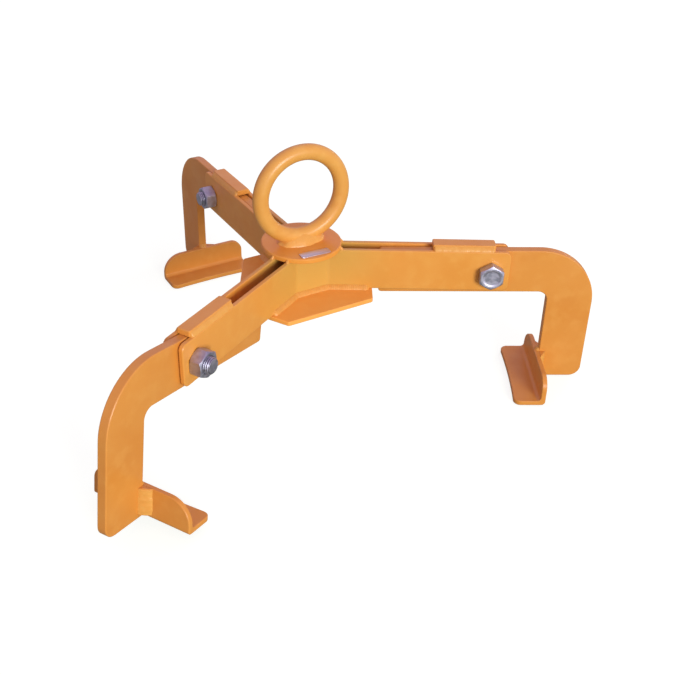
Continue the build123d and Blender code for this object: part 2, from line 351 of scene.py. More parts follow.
def hub_corner(end_along_arm, height):
    """Seam along a bent side plate's outer face, drawn with its facet across +X, and the way out from it.

    The line comes in along one arm, turns through the bend's arc, crosses the facet and goes out along
    the other arm. Points are laid evenly along it, and the way out is its direction turned a quarter.
    """
    bend_turn = math.pi / 2 - half_arm_spread
    tangent = bend_radius * math.tan(bend_turn / 2)
    bend_along = (facet_reach - arm_half_width * math.sin(half_arm_spread)) / math.cos(half_arm_spread)
    bend_y = bend_along * math.sin(half_arm_spread) - arm_half_width * math.cos(half_arm_spread)
    arc_turn = np.linspace(math.pi, math.pi - bend_turn, bend_points)
    arc_x = facet_reach + bend_radius + bend_radius * np.cos(arc_turn)
    arc_y = bend_y - tangent + bend_radius * np.sin(arc_turn)
    end_x = end_along_arm * math.cos(half_arm_spread) + arm_half_width * math.sin(half_arm_spread)
    end_y = end_along_arm * math.sin(half_arm_spread) - arm_half_width * math.cos(half_arm_spread)
    upper_x = np.concatenate([arc_x, [end_x]])
    upper_y = np.concatenate([arc_y, [end_y]])
    x = np.concatenate([upper_x[::-1], upper_x])
    y = np.concatenate([-upper_y[::-1], upper_y])
    rough = np.stack([x, y, np.full_like(x, height)], axis=-1)
    rough_along = path_lengths(rough)
    along = np.linspace(0.0, rough_along[-1], int(rough_along[-1] / hub_seam_step))
    path = np.stack([np.interp(along, rough_along, rough[:, k]) for k in range(3)], axis=-1)
    way = np.gradient(path, axis=0)
    way = way / np.linalg.norm(way, axis=1)[:, None]
    outward = np.stack([way[:, 1], -way[:, 0], np.zeros(len(way))], axis=-1)
    return path, outward


def hub_welds():
    """Beads that hold the side plates on the base plate and under the disc, on all three facets."""
    seams = (
        (base_reach_at_arms - base_seam_setback, plate_bottom, straight_up, base_bead, base_seam_seed),
        (disc_seam_reach, plate_top, straight_down, disc_bead, disc_seam_seed),
    )
    grids = []
    for number, turn in enumerate(facet_turns):
        for end_along_arm, height, on_plate, bead, seed in seams:
            corner, outward = hub_corner(end_along_arm, height)
            points, crease_shades, joins_up = fillet_weld(corner, outward, on_plate, bead, seed + number)
            grids.append((turned(points, turn), crease_shades, joins_up))
    return grids


def arm_welds(seed):
    """Beads on the tops of arm a's two plates: short on the disc's rim, long beside the strap."""
    grids = []
    low = math.asin((slot_half_width + rim_seam_inner_inset) / disc_radius)
    high = math.asin((arm_half_width - rim_seam_outer_inset) / disc_radius)
    for number, side in enumerate((1.0, -1.0)):
        turn = side * np.linspace(low, high, rim_seam_points)
        outward = np.stack([np.cos(turn), np.sin(turn), np.zeros_like(turn)], axis=-1)
        rim = disc_radius * outward + np.array([0.0, 0.0, plate_top])
        grids.append(fillet_weld(rim, outward, straight_up, rim_bead, seed + number))
        seam_start = (strap_inner_end + strap_seam_setback, side * strap_half_width, plate_top)
        seam_end = (strap_outer_end - strap_seam_setback, side * strap_half_width, plate_top)
        seam = straight_path(seam_start, seam_end, long_seam_step)
        on_plate = (0.0, side, 0.0)
        grids.append(fillet_weld(seam, on_plate, straight_up, strap_bead, seed + strap_seed + number))
    return grids


def pad_welds(seed):
    """Beads between hook a's leg and its jaw pad: upright in both corners, and over the wall's top."""
    grids = []
    for number, side in enumerate((1.0, -1.0)):
        seam_foot = (leg_inner_reach, side * hook_half_thickness, pad_heel_top)
        seam_head = (leg_inner_reach, side * hook_half_thickness, pad_wall_top)
        seam = straight_path(seam_foot, seam_head, pad_seam_step)
        on_leg = (1.0, 0.0, 0.0)
        on_wall = (0.0, side, 0.0)
        grids.append(fillet_weld(seam, on_leg, on_wall, pad_corner_bead, seed + number))
    ledge_start = (leg_inner_reach, -hook_half_thickness + pad_seam_inset, pad_wall_top)
    ledge_end = (leg_inner_reach, hook_half_thickness - pad_seam_inset, pad_wall_top)
    ledge = straight_path(ledge_start, ledge_end, long_seam_step)
    on_wall = (-1.0, 0.0, 0.0)
    grids.append(fillet_weld(ledge, on_wall, straight_up, pad_top_bead, seed + pad_top_seed))
    return grids


def ring_surface():
    """Ring of round bar: a torus, flat where it meets the disc, whose thickness drifts by two slow sines."""
    round_ring = round_angles(ring_points_round).T
    round_bar = round_angles(bar_points_round)
    slow = np.sin(5.0 * round_ring + 1.1)
    twisting = np.sin(3.0 * round_ring + 2.0 * round_bar)
    bar = ring_bar_radius + (ring_drift * slow + ring_drift * twisting)
    reach = ring_middle_radius + bar * np.cos(round_bar)
    x = reach * np.sin(round_ring)
    y = bar * np.sin(round_bar)
    z = np.maximum(ring_middle_height - reach * np.cos(round_ring), disc_top)
    points = turned(np.stack([x, y, z], axis=-1), ring_turn)
    return points, np.zeros_like(x), True


def ring_weld_surface():
    """Weld round the foot of the ring: a sloping skirt over an ellipse.

    A share goes from 1 at the rim to almost nothing in the middle. The height climbs from the rim as a
    power of the share left out, and is level from the skirt's top, which lies inside the bar. Slow sines
    make the rim uneven, and faint humps of a cosine go round the skirt and lean as they climb.
    """
    share = np.linspace(1.0, 0.04, ring_weld_rows)[:, None]
    turn = round_angles(ring_weld_points_round)
    climb = np.clip((1.0 - share) / (1.0 - ring_weld_top_share), 0.0, 1.0) ** ring_weld_climb_power
    wander = 2.0 * np.sin(3.0 * turn)
    hump = np.abs(np.cos(0.5 * (ring_weld_humps * turn + wander + ring_weld_lean * climb)))
    mid_skirt = np.sin(math.pi * climb)
    ripple = hump * mid_skirt
    uneven = 0.03 * np.sin(3.0 * turn + 0.6) + 0.02 * np.sin(7.0 * turn)
    spread = share * (1.0 + uneven) + ring_weld_ripple_out * ripple
    x = ring_weld_half_length * spread * np.cos(turn)
    y = ring_weld_half_width * spread * np.sin(turn)
    z = disc_top - ring_weld_sink + ring_weld_height * climb + ring_weld_ripple_up * ripple
    points = turned(np.stack([x, y, z], axis=-1), ring_turn)
    # Painted shade in the valleys between the skirt's humps
    return points, ring_weld_shade * (1.0 - hump) * mid_skirt, False


def label_surface():
    """Bare foil plate: a rounded oblong with a bowed top.

    An angle goes once round, and the outline is a superellipse. Rows go from the middle of the underside
    out to the rim, and over the rim back to the middle of the top, each with its share of the outline and
    of the thickness. The top is raised by the crown times one minus the square of the share across the
    plate.
    """
    angle = round_angles(label_points_round)
    corner = np.cos(angle) ** label_corner_power + np.sin(angle) ** label_corner_power
    reach = corner ** (-1.0 / label_corner_power)
    under_rows = ((0.05, 0.0), (0.6, 0.0), (0.985, 0.0), (1.0, 0.2), (1.0, 0.6))
    top_rows = ((0.985, 0.95), (0.95, 1.0), (0.85, 1.0), (0.7, 1.0), (0.5, 1.0), (0.3, 1.0), (0.05, 1.0))
    rows = np.array(under_rows + top_rows)
    share = rows[:, :1]
    rise = rows[:, 1:]
    on_top = (np.arange(len(rows)) >= len(under_rows))[:, None]
    across = share * reach * np.sin(angle)
    x = label_half_length * share * reach * np.cos(angle)
    y = label_half_width * across - label_reach
    z = disc_top + label_thickness * rise + label_crown * on_top * (1.0 - across**2)
    points = turned(np.stack([x, y, z], axis=-1), ring_turn)
    return points, np.zeros_like(x), False


def hexagon_reach(angle):
    """Distance from a fastener's axis to its six flats: the flats' reach over the cosine of the angle from
    the nearest flat's middle, held to slightly rounded corners."""
    sixth = full_turn / 6
    from_flat = (angle + sixth / 2) % sixth - sixth / 2
    return np.minimum(hex_flat_reach / np.cos(from_flat), hex_corner_reach)


def round_pivot(along, reach, angle):
    """Points round the pivot axis of arm a: along it is Y, and the reach goes round it in X and Z."""
    x = pivot_reach + reach * np.cos(angle)
    z = pivot_height + reach * np.sin(angle)
    return np.stack([x, along + np.zeros_like(x), z], axis=-1)


def hex_end(face, way, reach):
    """Chamfered end of a hexagon: rows from the flat face's edge out to the sides.

    A share goes from 0 at the face's edge to 1 at the hexagon's side. The end falls back from the face by
    the tangent of the chamfer's angle times how far the reach passes the face's edge.
    """
    share = np.linspace(0.0, 1.0, hex_end_rows)[:, None]
    out = hex_face_reach + share * (reach - hex_face_reach)
    along = face + way * (out - hex_face_reach) * math.tan(hex_chamfer)
    return along, out


def bolt_surface():
    """Hexagon bolt: rows round its axis, from the middle of the head to the middle of the threaded end.

    The head's face is a shallow dish, which a smooth step of the distance from the axis raises to its rim.
    The thread is a triangle wave of its own pitch along the axis, moved on by one pitch for each turn
    round it. Its depth grows in over two turns, and the end chamfer cuts it off at the point.
    """
    angle = round_angles(fastener_points_round)
    reach = hexagon_reach(angle)
    ones = np.ones_like(angle)
    head_face = -grip_half_length - head_height
    top_out = np.array([0.5, 5.0, 9.0, 9.8, 10.4, 11.0, 11.6, 12.4, 13.6])[:, None] * ones
    inside = np.clip((head_dish_radius - top_out) / head_dish_slope, 0.0, 1.0)
    top_along = head_face + head_dish * inside**2 * (3.0 - 2.0 * inside)
    chamfer_along, chamfer_out = hex_end(head_face, 1.0, reach)
    under = -grip_half_length - collar_height
    side_share = np.array([0.5, 1.0])[:, None]
    side_along = chamfer_along[-1:] + side_share * (under - head_foot_chamfer - chamfer_along[-1:])
    side_out = reach + 0.0 * side_share
    foot_reaches = (collar_radius, collar_foot_radius, bolt_radius + bolt_neck, bolt_radius)
    foot_out = np.concatenate([reach - head_foot_inset, np.array(foot_reaches)[:, None] * ones])
    neck_end = bolt_neck - grip_half_length
    foot_along = np.array([under, under, -grip_half_length, -grip_half_length, neck_end])[:, None] * ones
    shank_along = np.linspace(neck_end, bolt_end, shank_rows)[1:, None] * ones
    wave = (shank_along / thread_pitch + angle / full_turn) % 1.0
    flank = np.clip(np.abs(2.0 * wave - 1.0) * thread_slope - thread_crest, 0.0, 1.0)
    grown = np.clip((shank_along - grip_half_length + thread_start) / thread_run_in, 0.0, 1.0)
    point = bolt_radius - np.clip(shank_along - (bolt_end - bolt_end_chamfer), 0.0, None)
    shank_out = np.minimum(bolt_radius - thread_depth * grown * flank, point)
    end_out = np.array([0.85, 0.5, 0.1])[:, None] * shank_out[-1:]
    end_along = bolt_end + 0.0 * end_out
    out = np.concatenate([top_out, chamfer_out, side_out, foot_out, shank_out, end_out])
    along = np.concatenate([top_along, chamfer_along, side_along, foot_along, shank_along, end_along])
    deep = np.zeros_like(out)
    shank_start = len(out) - len(end_out) - len(shank_out)
    # Painted shade in the thread's roots, by the depth of the flank
    deep[shank_start:shank_start + len(shank_out)] = grown * flank
    return round_pivot(along, out, angle), deep, False


def nut_surface():
    """Hexagon nut: rows round its axis, up the bore, over one chamfered end, down the sides and back."""
    angle = round_angles(fastener_points_round)
    reach = hexagon_reach(angle)
    ones = np.ones_like(angle)
    inner = grip_half_length
    outer = grip_half_length + nut_height
    mouth_out = np.array([bolt_radius + nut_bore_play, nut_mouth_radius, nut_face_radius])[:, None] * ones
    outer_mouth = np.array([outer - nut_mouth_depth, outer, outer])[:, None] * ones
    inner_mouth = np.array([inner + nut_mouth_depth, inner, inner])[:, None] * ones
    outer_along, outer_out = hex_end(outer, -1.0, reach)
    inner_along, inner_out = hex_end(inner, 1.0, reach)
    out = np.concatenate([mouth_out, outer_out, inner_out[::-1], mouth_out[::-1]])
    along = np.concatenate([outer_mouth, outer_along, inner_along[::-1], inner_mouth[::-1]])
    return round_pivot(along, out, angle), np.zeros_like(out), True


# Enamel: the body, deep and pale shade of each piece, and what shows through or lies on it
arm_shades = ((0.77, 0.340, 0.056, 1.0), (0.73, 0.30, 0.042, 1.0), (0.79, 0.38, 0.070, 1.0))
# Lighter copy of the enamel for the base plate: painted light on its top
base_lit_shades = ((0.95, 0.44, 0.082, 1.0), (0.91, 0.39, 0.066, 1.0), (0.96, 0.48, 0.10, 1.0))
disc_shades = ((0.80, 0.33, 0.046, 1.0), (0.76, 0.285, 0.034, 1.0), (0.83, 0.37, 0.060, 1.0))
ring_shades = ((0.74, 0.37, 0.072, 1.0), (0.70, 0.32, 0.055, 1.0), (0.77, 0.42, 0.095, 1.0))
hook_shades = ((0.71, 0.300, 0.049, 1.0), (0.67, 0.26, 0.036, 1.0), (0.74, 0.34, 0.063, 1.0))
hub_yellow = (0.60, 0.385, 0.076, 1.0)
yellow_reach = 0.04
yellow_end = 0.13
# Lighter edges: thin paint and painted highlight
enamel_thin_and_highlight = (0.84, 0.42, 0.11, 1.0)
thin_and_highlight_share = 0.45
# Painted shade for the weld beads' valleys and roots
weld_crease_shade_colour = (0.52, 0.145, 0.014, 1.0)
valley_dulling = 0.25
bared_steel = (0.16, 0.11, 0.08, 1.0)
# Pale dust colour, also a painted sheen on upward faces
dust_and_sheen_colour = (0.70, 0.44, 0.24, 1.0)
dust_dulling = 0.35
rub_start = 0.168
rub_full = 0.177
enamel_gloss = 0.3
enamel_coat = 0.22
weld_coat = 0.1
coat_roughness = 0.22

# Zinc plating and foil
zinc_dull = (0.44, 0.45, 0.56, 1.0)
zinc_clear = (0.56, 0.56, 0.65, 1.0)
# Lighter zinc edges: worn plating and painted highlight
zinc_edge_highlight = (0.70, 0.71, 0.76, 1.0)
zinc_edge_highlight_share = 0.6
# Painted shade in the thread's roots
thread_shade_colour = (0.10, 0.10, 0.11, 1.0)
foil_dull = (0.58, 0.55, 0.58, 1.0)
foil_clear = (0.72, 0.68, 0.71, 1.0)

# Heights of the finest relief, and how far a pattern is drawn out along each axis
peel_height = 0.00006
weld_peel_height = 0.0001
zinc_grain_height = 0.00001
foil_grain_height = 0.000012
through_plate = (1.0, 0.06, 1.0)
along_foil = (0.04, 1.0, 1.0)
level_only = (1.0, 1.0, 0.0)


def feed(tree, socket, source):
    """Sets a socket to a number or colour, or links it to another socket."""
    if isinstance(source, bpy.types.NodeSocket):
        tree.links.new(source, socket)
    else:
        socket.default_value = source


def add_node(tree, kind, sources=None, **settings):
    """A new node with its settings, and with its inputs fed by their names or numbers."""
    made = tree.nodes.new(kind)
    for name, value in settings.items():
        setattr(made, name, value)
    for key, source in (sources or {}).items():
        feed(tree, made.inputs[key], source)
    return made


def noise(tree, vector, scale, detail=3.0, roughness=0.5):
    """Noise from 0 to 1 about a half; a scale of 100 makes patches of about 10 mm."""
    sources = {"Vector": vector, "Scale": scale, "Detail": detail, "Roughness": roughness}
    return add_node(tree, "ShaderNodeTexNoise", sources).outputs["Fac"]


def ramp(tree, value, low, high, to_low=0.0, to_high=1.0):
    """Smooth step of a value: to_low at low and below, to_high at high and above."""
    sources = {"Value": value, "From Min": low, "From Max": high, "To Min": to_low, "To Max": to_high}
    return add_node(tree, "ShaderNodeMapRange", sources, interpolation_type="SMOOTHSTEP").outputs["Result"]


def calculate(tree, operation, first, second):
    """One step of arithmetic on two values."""
    return add_node(tree, "ShaderNodeMath", {0: first, 1: second}, operation=operation).outputs["Value"]


def multiply(tree, first, second):
    """Two values multiplied."""
    return calculate(tree, "MULTIPLY", first, second)


def stretch(tree, vector, factors):
    """A vector with each axis multiplied by its own factor."""
    sources = {0: vector, 1: factors}
    return add_node(tree, "ShaderNodeVectorMath", sources, operation="MULTIPLY").outputs["Vector"]


def split_axes(tree, vector):
    """The X, Y and Z of a vector."""
    return add_node(tree, "ShaderNodeSeparateXYZ", {0: vector}).outputs


def turn_back(tree, vector, degrees, vector_type="POINT"):
    """A place or a normal turned back about the hub axis."""
    sources = {"Vector": vector, "Rotation": (0.0, 0.0, -math.radians(degrees))}
    return add_node(tree, "ShaderNodeMapping", sources, vector_type=vector_type).outputs["Vector"]


def mix_colour(tree, share, first, second):
    """A colour between two, by a share. A mix node's colours are its inputs 6 and 7 and its output 2."""
    return add_node(tree, "ShaderNodeMix", {0: share, 6: first, 7: second}, data_type="RGBA").outputs[2]


def start_group(name, inputs, outputs):
    """An empty shader node group with its named sockets, and its two end nodes."""
    group = bpy.data.node_groups.new(name, "ShaderNodeTree")
    for socket, kind, value in inputs:
        made = group.interface.new_socket(name=socket, in_out="INPUT", socket_type="NodeSocket" + kind)
        if value is not None:
            made.default_value = value
    for socket, kind in outputs:
        group.interface.new_socket(name=socket, in_out="OUTPUT", socket_type="NodeSocket" + kind)
    return group, add_node(group, "NodeGroupInput").outputs, add_node(group, "NodeGroupOutput").inputs


def place_group(tree, group, **inputs):
    """A group placed in a material, with its own values. An underscore in a name stands for a space."""
    sources = {socket.replace("_", " "): value for socket, value in inputs.items()}
    return add_node(tree, "ShaderNodeGroup", sources, node_tree=group).outputs


def make_colour_drift():
    """Colour drift of sprayed enamel: one slow noise leans it to a deep shade, another to a pale one."""
    group, given, result = start_group(
        "colour_drift",
        [
            ("Vector", "Vector", None),
            ("Body", "Color", None),
            ("Deep", "Color", None),
            ("Pale", "Color", None),
            ("Scale", "Float", None),
        ],
        [("Color", "Color")],
    )
    slow_noise = noise(group, given["Vector"], given["Scale"])
    slow = ramp(group, slow_noise, low=0.42, high=0.72, to_high=0.7)
    quick_noise = noise(group, given["Vector"], multiply(group, given["Scale"], 3.7))
    quick = ramp(group, quick_noise, low=0.45, high=0.75, to_high=0.6)
    leaned = mix_colour(group, slow, given["Body"], given["Deep"])
    feed(group, result["Color"], mix_colour(group, quick, leaned, given["Pale"]))
    return group


def make_enamel_skin():
    """Skin of sprayed enamel: fine orange peel over the slow waves of rolled plate, with a drifting gloss."""
    group, given, result = start_group(
        "enamel_skin",
        [
            ("Vector", "Vector", None),
            ("Peel Scale", "Float", 420.0),
            ("Wave Scale", "Float", 38.0),
            ("Wave Share", "Float", 3.0),
            ("Roughness Low", "Float", 0.33),
            ("Roughness High", "Float", 0.46),
        ],
        [("Height", "Float"), ("Roughness", "Float")],
    )
    peel = noise(group, given["Vector"], given["Peel Scale"], detail=2.0, roughness=0.4)
    wave = noise(group, given["Vector"], given["Wave Scale"], detail=1.0, roughness=0.4)
    waves = multiply(group, wave, given["Wave Share"])
    feed(group, result["Height"], calculate(group, "ADD", peel, waves))
    patch = noise(group, given["Vector"], scale=24.0, detail=4.0, roughness=0.6)
    gloss = ramp(group, patch, 0.35, 0.7, given["Roughness Low"], given["Roughness High"])
    feed(group, result["Roughness"], gloss)
    return group


def make_edge_wear_and_highlight():
    """Edges for wear and painted highlight: where a normal rounded over a small radius leaves the true one.

    Edge is the rounded share, Chips the spots of it that a noise picks out, and Normal the rounded normal.
    """
    group, given, result = start_group(
        "edge_wear_and_highlight",
        [
            ("Vector", "Vector", None),
            ("Radius", "Float", None),
            ("Chip Scale", "Float", 160.0),
            ("Chip Level", "Float", 0.66),
        ],
        [("Edge", "Float"), ("Chips", "Float"), ("Normal", "Vector")],
    )
    rounded = add_node(group, "ShaderNodeBevel", {"Radius": given["Radius"]}, samples=6).outputs["Normal"]
    true = add_node(group, "ShaderNodeNewGeometry").outputs["Normal"]
    agree = add_node(group, "ShaderNodeVectorMath", {0: rounded, 1: true}, operation="DOT_PRODUCT")
    apart = calculate(group, "SUBTRACT", 1.0, agree.outputs["Value"])
    edge = ramp(group, apart, low=0.01, high=0.16)
    spots = noise(group, given["Vector"], given["Chip Scale"], detail=5.0, roughness=0.65)
    chip_high = calculate(group, "ADD", given["Chip Level"], 0.05)
    picked = ramp(group, spots, given["Chip Level"], chip_high)
    feed(group, result["Edge"], edge)
    feed(group, result["Chips"], multiply(group, edge, picked))
    feed(group, result["Normal"], rounded)
    return group


def make_settled_dust_and_sheen():
    """Dust, and painted sheen, on what faces up: a smooth step of the normal's height, broken by a cloudy
    noise.
    """
    group, given, result = start_group(
        "settled_dust_and_sheen",
        [("Vector", "Vector", None), ("Scale", "Float", 30.0), ("Most", "Float", None)],
        [("Mask", "Float")],
    )
    facing = add_node(group, "ShaderNodeTexCoord").outputs["Normal"]
    upward = ramp(group, split_axes(group, facing)["Z"], low=0.55, high=0.98)
    cloud_noise = noise(group, given["Vector"], given["Scale"], detail=5.0, roughness=0.6)
    cloud = ramp(group, cloud_noise, low=0.3, high=0.75)
    feed(group, result["Mask"], multiply(group, multiply(group, upward, cloud), given["Most"]))
    return group


def make_flame_cut():
    """Drag lines of a flame-cut edge: noise drawn out across the plate, on faces square to the plate.

    Vector and Normal come turned so that Y runs through the plate's thickness.
    """
    group, given, result = start_group(
        "flame_cut",
        [("Vector", "Vector", None), ("Normal", "Vector", None), ("Line Scale", "Float", 520.0)],
        [("Height", "Float")],
    )
    drawn = stretch(group, given["Vector"], through_plate)
    lines = noise(group, drawn, given["Line Scale"], detail=3.0, roughness=0.6)
    flat = calculate(group, "ABSOLUTE", split_axes(group, given["Normal"])["Y"], 0.0)
    on_edge = ramp(group, flat, low=0.25, high=0.6, to_low=1.0, to_high=0.0)
    feed(group, result["Height"], multiply(group, lines, on_edge))
    return group


def make_metal_grain():
    """Grain of plated or rolled metal: fine noise, and clouds of larger spangle, each from 0 to 1."""
    group, given, result = start_group(
        "metal_grain",
        [("Vector", "Vector", None), ("Fine Scale", "Float", None), ("Cloud Scale", "Float", None)],
        [("Fine", "Float"), ("Cloud", "Float")],
    )
    fine = noise(group, given["Vector"], given["Fine Scale"], detail=4.0, roughness=0.6)
    cloud = noise(group, given["Vector"], given["Cloud Scale"], detail=3.0, roughness=0.55)
    feed(group, result["Fine"], ramp(group, fine, low=0.3, high=0.7))
    feed(group, result["Cloud"], ramp(group, cloud, low=0.32, high=0.68))
    return group


colour_drift = make_colour_drift()
enamel_skin = make_enamel_skin()
edge_wear_and_highlight = make_edge_wear_and_highlight()
settled_dust_and_sheen = make_settled_dust_and_sheen()
flame_cut = make_flame_cut()
metal_grain = make_metal_grain()


def start_material(name):
    """A material with an empty tree but for its shader, its output and the place on the piece."""
    material = bpy.data.materials.new(name)
    material.use_nodes = True
    tree = material.node_tree
    tree.nodes.clear()
    shader = add_node(tree, "ShaderNodeBsdfPrincipled")
    add_node(tree, "ShaderNodeOutputMaterial", {"Surface": shader.outputs["BSDF"]})
    place = add_node(tree, "ShaderNodeTexCoord").outputs
    return material, tree, shader, place


def lay_finish(tree, shader, colour, rough, height, distance, normal=None):
    """Colour, roughness and bump of a finish, the bump on top of the rounded normal where there is one."""
    feed(tree, shader.inputs["Base Color"], colour)
    feed(tree, shader.inputs["Roughness"], rough)
    bump = add_node(tree, "ShaderNodeBump", {"Strength": 1.0, "Distance": distance, "Height": height})
    if normal is not None:
        feed(tree, bump.inputs["Normal"], normal)
    feed(tree, shader.inputs["Normal"], bump.outputs["Normal"])


def set_gloss(shader, coat):
    """Gloss of enamel: a faint mirror of its own, under a thin coat."""
    shader.inputs["Specular IOR Level"].default_value = enamel_gloss
    shader.inputs["Coat Weight"].default_value = coat
    shader.inputs["Coat Roughness"].default_value = coat_roughness


def drifting_colour(tree, vector, shades, scale):
    """The drifting colour of one piece's three shades."""
    body, deep, pale = shades
    drift = place_group(tree, colour_drift, Vector=vector, Body=body, Deep=deep, Pale=pale, Scale=scale)
    return drift["Color"]


def lean_to_yellow(tree, vector, colour, share):
    """A colour that leans to yellow round the hub: a smooth step of the distance from the hub axis."""
    level = stretch(tree, vector, level_only)
    from_axis = add_node(tree, "ShaderNodeVectorMath", {0: level}, operation="LENGTH").outputs["Value"]
    near_hub = ramp(tree, from_axis, yellow_reach, yellow_end, share, 0.0)
    return mix_colour(tree, near_hub, colour, hub_yellow)


def make_plate_enamel(name, shades, chip_level, dust_and_sheen_most, plate_turn=0.0, cut_share=0.0, yellow_share=0.0):
    """Orange enamel on plate: drifting colour, thin edges with painted highlight, a few chips, dust and
    painted sheen on top, orange peel.

    The plate turn brings Object coordinates to the arm that the plate belongs to, so that the drag lines
    of its cut edges run through the plate. The cut share is the lines' height over the orange peel's, and
    the yellow share is how far the colour leans to yellow at the hub axis.
    """
    material, tree, shader, place = start_material(name)
    vector = turn_back(tree, place["Object"], plate_turn)
    colour = drifting_colour(tree, vector, shades, scale=16.0)
    skin = place_group(tree, enamel_skin, Vector=vector)
    wear_and_highlight = place_group(tree, edge_wear_and_highlight, Vector=vector, Radius=0.0014, Chip_Level=chip_level)
    dust_and_sheen = place_group(tree, settled_dust_and_sheen, Vector=vector, Most=dust_and_sheen_most)["Mask"]
    height = skin["Height"]
    if yellow_share:
        colour = lean_to_yellow(tree, vector, colour, yellow_share)
    if cut_share:
        normal = turn_back(tree, place["Normal"], plate_turn, vector_type="NORMAL")
        cut = place_group(tree, flame_cut, Vector=vector, Normal=normal)["Height"]
        height = calculate(tree, "ADD", height, multiply(tree, cut, cut_share))
    # Lighter edges: thin paint and painted highlight
    colour = mix_colour(tree, multiply(tree, wear_and_highlight["Edge"], thin_and_highlight_share), colour, enamel_thin_and_highlight)
    # Dust and painted sheen on what faces up
    colour = mix_colour(tree, dust_and_sheen, colour, dust_and_sheen_colour)
    colour = mix_colour(tree, wear_and_highlight["Chips"], colour, bared_steel)
    rough = calculate(tree, "ADD", skin["Roughness"], multiply(tree, dust_and_sheen, dust_dulling))
    lay_finish(tree, shader, colour, rough, height, peel_height, wear_and_highlight["Normal"])
    set_gloss(shader, enamel_coat)
    return material


def make_bar_enamel(name):
    """Orange enamel on the ring: drifting colour, orange peel, and a rubbed band inside its top."""
    material, tree, shader, place = start_material(name)
    vector = place["Object"]
    colour = drifting_colour(tree, vector, ring_shades, scale=22.0)
    skin = place_group(tree, enamel_skin, Vector=vector, Wave_Share=2.0)
    # Dust and painted sheen on what faces up
    dust_and_sheen = place_group(tree, settled_dust_and_sheen, Vector=vector, Most=0.05)["Mask"]
    colour = mix_colour(tree, dust_and_sheen, colour, dust_and_sheen_colour)
    high = ramp(tree, split_axes(tree, vector)["Z"], rub_start, rub_full)
    facing = split_axes(tree, place["Normal"])["Z"]
    downward = ramp(tree, facing, low=-0.95, high=-0.55, to_low=1.0, to_high=0.0)
    spot_noise = noise(tree, vector, scale=240.0, detail=5.0, roughness=0.65)
    spots = ramp(tree, spot_noise, low=0.48, high=0.6, to_high=0.6)
    rubbed = multiply(tree, multiply(tree, high, downward), spots)
    colour = mix_colour(tree, rubbed, colour, bared_steel)
    lay_finish(tree, shader, colour, skin["Roughness"], skin["Height"], peel_height)
    set_gloss(shader, enamel_coat)
    return material


def make_weld_enamel(name):
    """Orange enamel over weld beads: painted shade darkens it in the valleys between the ripples and at the
    root, which are duller too.
    """
    material, tree, shader, place = start_material(name)
    vector = place["Object"]
    colour = drifting_colour(tree, vector, ring_shades, scale=60.0)
    skin = place_group(tree, enamel_skin, Vector=vector, Wave_Scale=260.0, Wave_Share=1.5)
    crease_shade = add_node(tree, "ShaderNodeAttribute", attribute_name="crease_shade").outputs["Fac"]
    # Painted shade in the bead's valleys and at its root
    shaded_crease = ramp(tree, crease_shade, low=0.35, high=1.0, to_high=0.55)
    colour = mix_colour(tree, shaded_crease, colour, weld_crease_shade_colour)
    rough = calculate(tree, "ADD", skin["Roughness"], multiply(tree, shaded_crease, valley_dulling))
    lay_finish(tree, shader, colour, rough, skin["Height"], weld_peel_height)
    set_gloss(shader, weld_coat)
    return material


def make_zinc_plating(name):
    """Bright zinc plating: bluish metal with a cloudy bloom, edges lighter from wear and painted highlight,
    painted shade in the thread.
    """
    material, tree, shader, place = start_material(name)
    vector = place["Object"]
    grain = place_group(tree, metal_grain, Vector=vector, Fine_Scale=1400.0, Cloud_Scale=170.0)
    wear_and_highlight = place_group(tree, edge_wear_and_highlight, Vector=vector, Radius=0.0007)
    colour = mix_colour(tree, grain["Cloud"], zinc_dull, zinc_clear)
    # Lighter edges: worn plating and painted highlight
    colour = mix_colour(tree, multiply(tree, wear_and_highlight["Edge"], zinc_edge_highlight_share), colour, zinc_edge_highlight)
    crease_shade = add_node(tree, "ShaderNodeAttribute", attribute_name="crease_shade").outputs["Fac"]
    # Painted shade in the thread's roots
    deep = ramp(tree, crease_shade, low=0.3, high=1.0, to_high=0.7)
    colour = mix_colour(tree, deep, colour, thread_shade_colour)
    rough = ramp(tree, grain["Cloud"], low=0.0, high=1.0, to_low=0.40, to_high=0.54)
    lay_finish(tree, shader, colour, rough, grain["Fine"], zinc_grain_height, wear_and_highlight["Normal"])
    shader.inputs["Metallic"].default_value = 1.0
    return material


def make_label_foil(name):
    """Bare foil: fine lines drawn along the plate, in grey metal with a faint cloud."""
    material, tree, shader, place = start_material(name)
    vector = turn_back(tree, place["Object"], ring_turn)
    lines = stretch(tree, vector, along_foil)
    grain = place_group(tree, metal_grain, Vector=lines, Fine_Scale=2200.0, Cloud_Scale=700.0)
    wear_and_highlight = place_group(tree, edge_wear_and_highlight, Vector=vector, Radius=0.0004)
    colour = mix_colour(tree, grain["Cloud"], foil_dull, foil_clear)
    rough = ramp(tree, grain["Fine"], low=0.0, high=1.0, to_low=0.28, to_high=0.42)
    lay_finish(tree, shader, colour, rough, grain["Fine"], foil_grain_height, wear_and_highlight["Normal"])
    shader.inputs["Metallic"].default_value = 1.0
    return material


ring_enamel = make_bar_enamel("ring_enamel")
weld_enamel = make_weld_enamel("weld_enamel")
zinc_plating = make_zinc_plating("zinc_plating")
label_foil = make_label_foil("label_foil")
hub_enamel = make_plate_enamel("hub_enamel", arm_shades, chip_level=0.80, dust_and_sheen_most=0.08, yellow_share=0.75)
# Base plate's lighter enamel: painted light on its top
base_lit_enamel = make_plate_enamel("base_lit_enamel", base_lit_shades, chip_level=0.80, dust_and_sheen_most=0.02)
disc_enamel = make_plate_enamel("disc_enamel", disc_shades, chip_level=0.80, dust_and_sheen_most=0.02)


